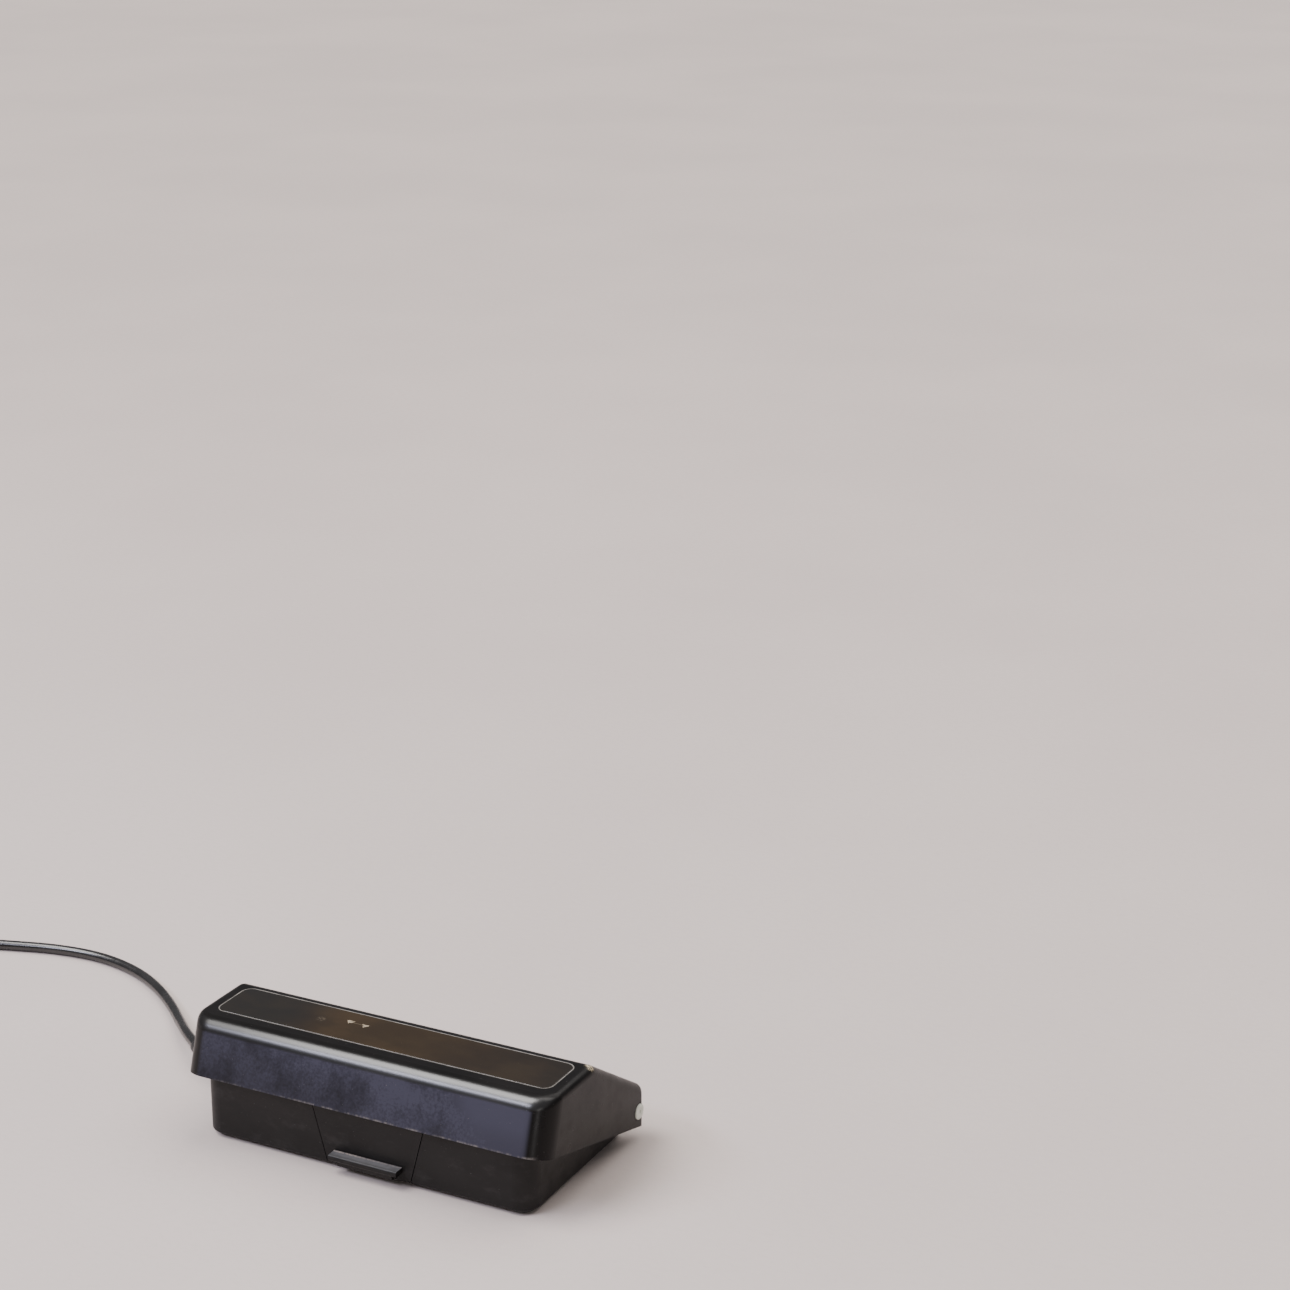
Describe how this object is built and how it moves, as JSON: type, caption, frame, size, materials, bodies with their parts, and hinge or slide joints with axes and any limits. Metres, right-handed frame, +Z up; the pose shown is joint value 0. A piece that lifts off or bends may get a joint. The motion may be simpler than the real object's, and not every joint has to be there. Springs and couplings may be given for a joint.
{
  "type": "sewing machine foot controller",
  "caption": "Clamshell foot pedal for a sewing machine: hinged treadle cover on a hollow base with a sprung controller, front latch and coiled lead.",
  "frame": {"origin": "on the floor, under the middle of the closed pedal's footprint, without its cord", "axes": "+X along the treadle, away from the cord exit; +Y towards the hinge; +Z up"},
  "size_m": [0.4022, 0.1338, 0.0495],
  "materials": {
    "cover_plastic": "polished black phenolic moulding, lightly worn",
    "base_plastic": "satin black phenolic moulding",
    "plate_plastic": "polished black plate",
    "rubber": "matte black rubber",
    "cord_pvc": "smooth black PVC jacket",
    "pin_plastic": "pale greenish white nylon pins",
    "steel": "zinc plated steel",
    "spring_steel": "spring steel wire",
    "brass": "plain brass",
    "phenolic": "brown phenolic",
    "ceramic": "unglazed ceramic",
    "carbon": "pressed carbon",
    "nylon": "natural nylon",
    "foil_can": "aluminium can",
    "felt": "grey felt",
    "lead_pvc": "brown PVC insulation",
    "strap": "black strap",
    "plate_metal": "brushed blank plate"
  },
  "bodies": {
    "root": {"base_shell": "base_plastic", "rubber_feet": "rubber", "rating_plate": "plate_metal", "hinge_pins": "pin_plastic", "latch_pins": "steel", "latch_springs": "spring_steel", "return_springs": "spring_steel", "controller_housing": "phenolic", "controller_lid": "phenolic", "lid_screws": "steel", "housing_screws": "steel", "rheostat_block": "ceramic", "carbon_discs": "carbon", "contact_buttons": "brass", "contact_strips": "brass", "plunger_spring": "spring_steel", "suppressor_capacitor": "foil_can", "terminal_block": "phenolic", "terminal_screws": "brass", "strain_relief": "cord_pvc", "cord_clamp": "nylon", "clamp_screw": "steel", "supply_leads": "lead_pvc", "cord_run": "cord_pvc", "cord_coil": "cord_pvc", "cord_tail": "cord_pvc", "coil_tie": "strap", "machine_connector": "cord_pvc", "connector_sockets": "brass"},
    "cover": {"treadle_cover": "cover_plastic", "top_plate": "plate_plastic", "bail_pads": "felt", "cover_catch": "steel", "catch_screws": "steel"},
    "bail": {"return_bail": "steel", "adjusting_screw": "steel", "lock_nut": "steel"},
    "plunger": {"plunger": "nylon"},
    "latch": {"latch_flap": "base_plastic"}
  },
  "joints": [
    {"name": "treadle_press", "type": "hinge", "parent": "root", "child": "bail", "pos_m": [0, 0.0376, 0.0127], "axis": [1, 0, 0], "range_deg": [0, 8], "stiffness_Nm_per_rad": 2.2, "springref_deg": -6.88, "deforming": ["return_springs"]},
    {"name": "cover_open", "type": "hinge", "parent": "bail", "child": "cover", "pos_m": [0, 0.0376, 0.0127], "axis": [-1, 0, 0], "range_deg": [0, 85]},
    {"name": "latch", "type": "hinge", "parent": "root", "child": "latch", "pos_m": [0.0026, -0.0324, 0.026], "axis": [-1, 0, 0], "range_deg": [0, 8], "stiffness_Nm_per_rad": 0.05, "springref_deg": -11.46, "deforming": ["latch_springs"]},
    {"name": "plunger_slide", "type": "slide", "parent": "root", "child": "plunger", "axis": [0, 0, -1], "range_m": [0, 0.0042], "deforming": ["plunger_spring"]}
  ],
  "couplings": [
    {"joint": "plunger_slide", "follows": "treadle_press", "m_per_rad": 0.028}
  ]
}
